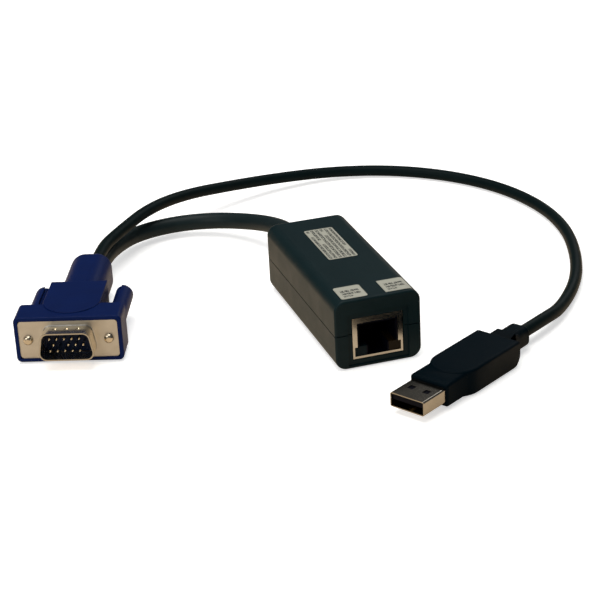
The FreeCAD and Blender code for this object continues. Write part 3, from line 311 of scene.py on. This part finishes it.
def moulded(name, colour, worn, roughness, grain=5000.0, depth=0.00002, rub=0.5, specular=0.5):
    """Injection-moulded plastic: fine grain, slightly uneven gloss and paler rub marks."""
    material, tree, shader = new_material(name, roughness, specular=specular)
    surface = add(tree, "ShaderNodeGroup", {"Grain scale": grain, "Rub amount": rub},
                  node_tree=MOULDED)
    uneven = add(tree, "ShaderNodeMapRange", {"Value": surface.outputs["Unevenness"],
                                              "To Min": 0.84, "To Max": 1.18})
    plain = add(tree, "ShaderNodeVectorMath", {0: colour}, operation="SCALE")
    tree.links.new(uneven.outputs[0], plain.inputs["Scale"])
    colour_out = blend_colour(tree, surface.outputs["Rub"], plain.outputs[0], worn)
    tree.links.new(colour_out, shader.inputs["Base Color"])
    gloss = add(tree, "ShaderNodeMapRange", {"Value": surface.outputs["Unevenness"],
                                             "To Min": roughness - 0.07, "To Max": roughness + 0.07})
    tree.links.new(gloss.outputs[0], shader.inputs["Roughness"])
    bump = add(tree, "ShaderNodeBump", {"Height": surface.outputs["Height"], "Distance": depth,
                                        "Strength": 0.6})
    tree.links.new(bump.outputs[0], shader.inputs["Normal"])
    return material


def plated(name, colour, dull, roughness, line_angle=0.0, line_scale=3000.0):
    """Plated sheet metal with drawing lines and slight clouding."""
    material, tree, shader = new_material(name, roughness, metallic=1.0)
    surface = add(tree, "ShaderNodeGroup", {"Line scale": line_scale, "Line angle": line_angle},
                  node_tree=PLATED)
    clouded = add(tree, "ShaderNodeMapRange", {"Value": surface.outputs["Cloud"], "From Min": 0.35,
                                               "From Max": 0.75})
    tree.links.new(blend_colour(tree, clouded.outputs[0], colour, dull), shader.inputs["Base Color"])
    gloss = add(tree, "ShaderNodeMapRange", {"Value": surface.outputs["Lines"],
                                             "To Min": roughness - 0.04, "To Max": roughness + 0.05})
    tree.links.new(gloss.outputs[0], shader.inputs["Roughness"])
    bump = add(tree, "ShaderNodeBump", {"Height": surface.outputs["Lines"], "Distance": 0.000002,
                                        "Strength": 0.4})
    tree.links.new(bump.outputs[0], shader.inputs["Normal"])
    return material


def video_sheet():
    """Nickel sheet of the video plug: its drawn shroud is smoother and painted paler as a painted
    highlight of the overhead lamp on its top, and its front rim is painted darker as painted shade.

    Both masks are distances ahead of the plate, along the plug's own axis.
    """
    shroud_from, shroud_full, rim_from, rim_full = 0.0001, 0.0004, 0.0050, 0.0054
    # The pale shroud colour is a painted highlight standing in for the overhead lamp's light on the
    # shroud, and the dark rim colour is painted shade.
    shroud_painted_highlight, rim_painted_shade, shroud_gloss = (0.92, 0.83, 0.66), (0.34, 0.32, 0.28), 0.45
    material = plated("nickel_plate_painted_light", (0.46, 0.445, 0.41), (0.40, 0.38, 0.34), 0.42,
                      line_angle=math.radians(-VIDEO_PLUG[2]))
    tree = material.node_tree
    shader = tree.nodes["Principled BSDF"]
    sheet = shader.inputs["Base Color"].links[0].from_socket
    gloss = shader.inputs["Roughness"].links[0].from_socket
    place = add(tree, "ShaderNodeTexCoord").outputs["Object"]
    origin, ahead = Vector(place_on(VIDEO_PLUG, 0, 0, 0)), Vector(place_on(VIDEO_PLUG, 0, -1000, 0))
    axis = (ahead - origin).normalized()
    apart = add(tree, "ShaderNodeVectorMath", {0: place, 1: tuple(origin)}, operation="SUBTRACT")
    depth = add(tree, "ShaderNodeVectorMath", {0: apart.outputs[0], 1: tuple(axis)},
                operation="DOT_PRODUCT").outputs["Value"]
    drawn = add(tree, "ShaderNodeMapRange", {"Value": depth, "From Min": shroud_from,
                                             "From Max": shroud_full}, clamp=True).outputs[0]
    rim = add(tree, "ShaderNodeMapRange", {"Value": depth, "From Min": rim_from,
                                           "From Max": rim_full}, clamp=True).outputs[0]
    # Painted highlight on the shroud, painted shade on its front rim.
    shroud = blend_colour(tree, rim, shroud_painted_highlight, rim_painted_shade)
    tree.links.new(blend_colour(tree, drawn, sheet, shroud), shader.inputs["Base Color"])
    smoother = add(tree, "ShaderNodeMapRange", {"Value": drawn, "To Min": 1.0,
                                                "To Max": shroud_gloss}).outputs[0]
    tree.links.new(calc(tree, "MULTIPLY", gloss, smoother), shader.inputs["Roughness"])
    return material


def printed_label(name, node, margin, along_y, letter, row, gaps):
    """Matt cream label with rows of small print along +Y or along +X. Sizes in millimetres."""
    low, high = (Vector(corner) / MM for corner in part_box(node))
    middle, half = (low + high) / 2, (high - low) / 2
    half_length, half_width = (half.y, half.x) if along_y else (half.x, half.y)
    along, across = ("Y", "X") if along_y else ("X", "Y")
    material, tree, shader = new_material(name, 0.55, specular=0.3)
    place = add(tree, "ShaderNodeTexCoord").outputs["Object"]
    centred = add(tree, "ShaderNodeMapping", {"Vector": place, "Scale": (1 / MM,) * 3,
                                              "Location": (-middle.x, -middle.y, 0.0)})
    apart = add(tree, "ShaderNodeSeparateXYZ", {"Vector": centred.outputs[0]})
    ink = add(tree, "ShaderNodeGroup", {
        "Along": apart.outputs[along], "Across": apart.outputs[across], "Letter pitch": letter,
        "Row pitch": row, "Half length": half_length - margin, "Half width": half_width - margin,
        "Gaps": gaps}, node_tree=PRINT)
    fibre = add(tree, "ShaderNodeTexNoise", {"Vector": place, "Scale": 2500.0, "Detail": 3.0})
    paper = blend_colour(tree, fibre.outputs["Fac"], (0.385, 0.385, 0.325), (0.425, 0.425, 0.36))
    tree.links.new(blend_colour(tree, ink.outputs["Ink"], paper, (0.018, 0.022, 0.022)),
                   shader.inputs["Base Color"])
    bump = add(tree, "ShaderNodeBump", {"Height": fibre.outputs["Fac"], "Distance": 0.00001,
                                        "Strength": 0.3})
    tree.links.new(bump.outputs[0], shader.inputs["Normal"])
    return material


# ------------------------------------------------------------------------------- pieces

def grid_mesh(name, x, y, z):
    """Closed mesh of a surface sampled on a grid of rings: axis 0 runs along, axis 1 round.

    Each ring joins the next with quads, and each end is closed by one flat face.
    """
    rings, around = x.shape
    points = np.stack([x, y, z], axis=-1).reshape(-1, 3)
    index = np.arange(rings * around).reshape(rings, around)
    after = np.roll(index, -1, axis=1)
    quads = np.stack([index[:-1], after[:-1], after[1:], index[1:]], axis=-1).reshape(-1, 4)
    faces = quads.tolist() + [index[0][::-1].tolist(), index[-1].tolist()]
    mesh = bpy.data.meshes.new(name)
    mesh.from_pydata(points.tolist(), [], faces)
    mesh.update()
    mesh.polygons.foreach_set("use_smooth", np.ones(len(mesh.polygons), dtype=bool))
    piece = bpy.data.objects.new(name, mesh)
    bpy.context.scene.collection.objects.link(piece)
    return piece


def smooth_by_angle(piece, degrees=35.0):
    """Mark the mesh's sharp edges so that flat faces stay flat."""
    piece.data.set_sharp_from_angle(angle=math.radians(degrees))


def lead_curve(name, points, radius):
    """Round lead whose centreline is one spline with the route's points as its control points."""
    curve = bpy.data.curves.new(name, "CURVE")
    curve.dimensions = "3D"
    spline = curve.splines.new("NURBS")
    spline.points.add(len(points) - 1)
    for point, place in zip(spline.points, points):
        point.co = (*place, 1.0)
    spline.order_u = 3
    spline.use_endpoint_u = True
    spline.resolution_u = 12
    curve.bevel_depth = radius
    curve.bevel_resolution = 7
    curve.use_fill_caps = True
    piece = bpy.data.objects.new(name, curve)
    bpy.context.scene.collection.objects.link(piece)
    return piece


def ribbed_relief():
    """Strain relief: a cone of rings.

    Its radius falls evenly from the root to the tip; each ring adds a raised half wave of 0.45 mm
    where the position along the cone is in the first 60% of a 1.6 mm step. Its inner part follows
    the CAD solid: a flange inside the wall and a neck through it.
    """
    wall_in, wall_out, inset = 0.0332, 0.0350, 0.00002
    flange, neck, collar, root, fall = 5.6, 4.4, 5.2, 4.75, 1.35
    rib_height, rib_step, rib_share, plain_from = 0.45 * MM, 1.6 * MM, 0.6, 0.97
    samples, sides = 90, 64
    low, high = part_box("cable_relief")
    start, end = low[1], high[1]
    middle_x, middle_z = (low[0] + high[0]) / 2, (low[2] + high[2]) / 2
    inner = np.array([start, start, wall_in, wall_in, wall_out, wall_out])
    inner_radius = np.array([0.0, flange, flange, neck, neck, collar]) * MM
    cone = np.append(np.linspace(wall_out + inset, end - inset, samples), end)
    reach = (cone - wall_out) / (end - wall_out)
    in_step = np.mod(cone - wall_out, rib_step)
    wave = np.clip(np.sin(in_step / (rib_step * rib_share) * np.pi), 0, 1)
    ribs = rib_height * wave * (in_step < rib_step * rib_share) * (reach < plain_from)
    along = np.append(inner, cone)
    radius = np.append(inner_radius, (root - fall * reach) * MM + ribs)
    turn = np.linspace(0, 2 * np.pi, sides, endpoint=False)
    x = middle_x + radius[:, None] * np.cos(turn)[None, :]
    z = middle_z - radius[:, None] * np.sin(turn)[None, :]
    y = np.repeat(along[:, None], sides, axis=1)
    piece = grid_mesh("ribbed_relief", x, y, z)
    smooth_by_angle(piece)
    return piece


def threaded_screw(name, side):
    """Screw of the video plug, turned about its own axis.

    Its end carries a thread: the radius is 1.4 mm less 0.25 mm times a triangle wave of the
    distance along the axis and of the turn, 0.635 mm to a turn. The end is domed, and the shank
    behind the plate is plain.
    """
    tip, plate, step, shank_end = -1.1, 0.3, 0.01, 24.2
    crest, thread_depth, pitch, shank_radius = 1.4, 0.25, 0.635, 1.42
    dome_length, flat_share = 0.6, 0.35
    samples, sides = 60, 48
    along = np.concatenate([np.linspace(tip, plate, samples), [plate + step, shank_end]])
    turn = np.linspace(0, 2 * np.pi, sides, endpoint=False)
    grid_y, grid_turn = np.meshgrid(along, turn, indexing="ij")
    wave = np.abs(np.mod(grid_y / pitch + grid_turn / (2 * np.pi), 1.0) * 2 - 1)
    from_tip = np.clip((tip + dome_length - grid_y) / dome_length, 0, 1)
    dome = flat_share + (1 - flat_share) * np.sqrt(np.clip(1 - from_tip ** 2, 0, 1))
    radius = np.where(grid_y <= plate, (crest - thread_depth * wave) * dome, shank_radius)
    x, y, z = place_on(VIDEO_PLUG, side * SCREW_SIDE + radius * np.cos(grid_turn), grid_y,
                       SCREW_HEIGHT - radius * np.sin(grid_turn))
    piece = grid_mesh(name, x, y, z)
    smooth_by_angle(piece, 50)
    return piece


def side_cutter(x_low, x_high, profile_y, profile_z):
    """Solid across the data plug: a closed side profile carried from one x to another."""
    x = np.array([x_low, x_high])[:, None] * np.ones_like(profile_y)
    place = place_on(DATA_PLUG, x, np.stack([profile_y] * 2), np.stack([profile_z] * 2))
    piece = grid_mesh("grip_cutter", *place)
    work = bmesh.new()
    work.from_mesh(piece.data)
    bmesh.ops.recalc_face_normals(work, faces=work.faces)
    work.to_mesh(piece.data)
    work.free()
    return piece


def shaped_grip():
    """Grip of the data plug, trimmed to the neck behind its pad.

    On each side of the neck a cutter takes off what lies behind the pad, and follows a quarter
    circle of 4.4 mm up from the underside to the back face. A third one lets the underside of the
    neck rise towards the lead, and a fourth one brings its root down to the neck's own height.
    The cutters reach past the grip at its sides, above and below.
    """
    pad_end, rounding, neck_side, neck_top, neck_front = 45.53, 4.4, 3.73, 7.43, 52.0
    rise_from, rise_to, rise_low, rise_high = 46.5, 57.5, 0.2, 1.95
    past, below = 9.0, -1.0
    mesh = NODES["plug_grip"].data.copy()
    work = bmesh.new()
    work.from_mesh(mesh)
    bmesh.ops.remove_doubles(work, verts=work.verts, dist=1e-6)
    work.to_mesh(mesh)
    work.free()
    whole = bpy.data.objects.new("whole_grip", mesh)
    bpy.context.scene.collection.objects.link(whole)
    turn = np.linspace(0, np.pi / 2, 12)
    arc_start = pad_end - rounding
    back_y = np.concatenate([arc_start + rounding * np.sin(turn),
                             [pad_end, neck_front, neck_front, arc_start]])
    back_z = np.concatenate([rounding - rounding * np.cos(turn), [past, past, below, below]])
    rise_y = np.array([rise_from, rise_to, rise_to, rise_from])
    rise_z = np.array([rise_low, rise_high, below, below])
    root_y = np.array([pad_end, neck_front, neck_front, pad_end])
    root_z = np.array([neck_top, neck_top, past, past])
    cutters = [side_cutter(-past, -neck_side, back_y, back_z),
               side_cutter(neck_side, past, back_y, back_z),
               side_cutter(-past, past, rise_y, rise_z),
               side_cutter(-past, past, root_y, root_z)]
    for cutter in cutters:
        cut = whole.modifiers.new("trim", "BOOLEAN")
        cut.operation, cut.solver, cut.object = "DIFFERENCE", "EXACT", cutter
    bpy.context.view_layer.update()
    result = whole.evaluated_get(bpy.context.evaluated_depsgraph_get())
    trimmed = bpy.data.meshes.new_from_object(result)
    for item in [whole] + cutters:
        bpy.data.objects.remove(item)
    piece = bpy.data.objects.new("shaped_grip", trimmed)
    bpy.context.scene.collection.objects.link(piece)
    trimmed.materials.clear()
    trimmed.polygons.foreach_set("use_smooth", np.ones(len(trimmed.polygons), dtype=bool))
    smooth_by_angle(piece)
    return piece


# ------------------------------------------------------------------------------- dress the part

def finish_nodes(material, *names):
    """Give CAD nodes a material on their objects' slots."""
    for name in names:
        for slot in NODES[name].material_slots:
            slot.link = "OBJECT"
            slot.material = material


def dress(piece, material, body):
    """Material and body of a new piece."""
    piece.data.materials.append(material)
    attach(piece, body)


def add_lead(name, node, points, radius, jacket):
    """Jacket of one lead along its route, in place of its CAD node."""
    lead = lead_curve(name, points, radius * MM)
    dress(lead, jacket, "dongle")
    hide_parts(node)
    return lead


def add_leads(thick_jacket, thin_jacket):
    """Both leads, each with the straight runs at its ends.

    The thick one runs from the box into the hood of the video plug, and the thin one from that
    hood into the grip of the data plug.
    """
    box_exit = (0.0, 0.043, 0.0112)
    points = [box_exit, *metres(VIDEO_LEAD_POINTS), *(place_on(VIDEO_PLUG, *at) for at in INTO_HOOD)]
    video = add_lead("video_lead_jacket", "video_lead", points, VIDEO_LEAD_RADIUS, thick_jacket)
    points = [*(place_on(VIDEO_PLUG, *at) for at in OUT_OF_HOOD), *metres(PLUG_LEAD_POINTS),
              *(place_on(DATA_PLUG, *at) for at in INTO_GRIP)]
    plug = add_lead("plug_lead_jacket", "plug_lead", points, PLUG_LEAD_RADIUS, thin_jacket)


def dress_plastics():
    """Finishes of the moulded CAD nodes."""
    housing = moulded("slate_housing", (0.0022, 0.0122, 0.0150), (0.006, 0.018, 0.021), 0.44,
                      rub=0.25, specular=0.12)
    hood = moulded("blue_hood", (0.0016, 0.0100, 0.068), (0.003, 0.016, 0.095), 0.42, grain=6500.0,
                   rub=0.2, specular=0.06)
    black = moulded("black_insulator", (0.0012, 0.0016, 0.005), (0.004, 0.005, 0.010), 0.4, rub=0.1,
                    specular=0.05)
    blue_insert = moulded("blue_insulator", (0.002, 0.008, 0.032), (0.004, 0.013, 0.045), 0.35,
                          rub=0.1, specular=0.1)
    ivory = moulded("ivory_insulator", (0.55, 0.54, 0.50), (0.6, 0.6, 0.56), 0.4, rub=0.1)
    board = moulded("green_board", (0.015, 0.10, 0.04), (0.03, 0.14, 0.06), 0.35, grain=3000.0)
    chip = moulded("chip_package", (0.012, 0.012, 0.013), (0.03, 0.03, 0.03), 0.5)
    teal_lamp = moulded("teal_light_pipe", (0.001, 0.008, 0.011), (0.002, 0.014, 0.018), 0.25,
                        rub=0.1, specular=0.08)
    amber_lamp = moulded("amber_light_pipe", (0.014, 0.0085, 0.003), (0.022, 0.014, 0.006), 0.25,
                         rub=0.1, specular=0.08)
    finish_nodes(housing, "lower_housing", "upper_housing")
    finish_nodes(hood, "video_hood", "jackscrew_knob_left", "jackscrew_knob_right")
    finish_nodes(black, "jack_insert", "plug_tongue")
    finish_nodes(blue_insert, "video_insert")
    finish_nodes(ivory, "wire_header")
    finish_nodes(board, "circuit_board")
    finish_nodes(chip, "controller_chip", "memory_chip")
    finish_nodes(teal_lamp, "lamp_left")
    finish_nodes(amber_lamp, "lamp_right")


def dress_metals(steel):
    """Finishes of the plated CAD nodes; the steel of the screws is given."""
    nickel = plated("nickel_sheet", (0.44, 0.43, 0.40), (0.38, 0.37, 0.34), 0.17)
    sleeve_nickel = plated("sleeve_nickel", (0.32, 0.295, 0.25), (0.27, 0.25, 0.21), 0.17)
    gold = plated("gold_flash", (0.85, 0.66, 0.34), (0.7, 0.55, 0.3), 0.25)
    worn_gold = plated("worn_gold", (0.26, 0.19, 0.09), (0.20, 0.15, 0.07), 0.3)
    pin_metal = plated("pin_plating", (0.80, 0.76, 0.66), (0.70, 0.66, 0.56), 0.14)
    can = plated("capacitor_can", (0.6, 0.61, 0.63), (0.5, 0.5, 0.52), 0.35)
    finish_nodes(nickel, "jack_shield", "crystal")
    finish_nodes(sleeve_nickel, "plug_shell")
    finish_nodes(video_sheet(), "video_shell")
    finish_nodes(steel, "housing_screw_front", "housing_screw_rear")
    finish_nodes(gold, "jack_contacts")
    finish_nodes(worn_gold, "plug_strips")
    finish_nodes(pin_metal, "video_pins")
    finish_nodes(can, "capacitor_front", "capacitor_rear")


def build():
    """Finishes of the CAD nodes, and the pieces that replace six of them."""
    steel = plated("screw_steel", (0.52, 0.46, 0.36), (0.40, 0.35, 0.27), 0.24)
    relief = moulded("black_relief", (0.004, 0.006, 0.007), (0.012, 0.014, 0.016), 0.5, specular=0.2)
    grip = moulded("black_grip", (0.0008, 0.0043, 0.0072), (0.003, 0.007, 0.010), 0.46, rub=0.2,
                   specular=0.02)
    thick_jacket = moulded("slate_jacket", (0.0085, 0.0165, 0.0185), (0.014, 0.023, 0.025), 0.42,
                           grain=9000.0, depth=0.00001, rub=0.3, specular=0.12)
    thin_jacket = moulded("black_jacket", (0.0030, 0.0080, 0.0088), (0.006, 0.012, 0.013), 0.42,
                          grain=9000.0, depth=0.00001, rub=0.3, specular=0.04)
    dress_plastics()
    dress_metals(steel)
    for label in LABELS:
        finish_nodes(printed_label(*label), label[1])

    sleeve = ribbed_relief()
    dress(sleeve, relief, "dongle")
    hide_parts("cable_relief")
    moulding = shaped_grip()
    dress(moulding, grip, "dongle")
    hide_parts("plug_grip")
    for name, side, body in (("left", -1, "left_thumbscrew"), ("right", 1, "right_thumbscrew")):
        screw = threaded_screw(f"threaded_screw_{name}", side)
        dress(screw, steel, body)
        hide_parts(f"jackscrew_{name}")
    add_leads(thick_jacket, thin_jacket)


bpy.context.scene.view_settings.view_transform = "Standard"
add_camera()
add_light()
add_floor()
build()
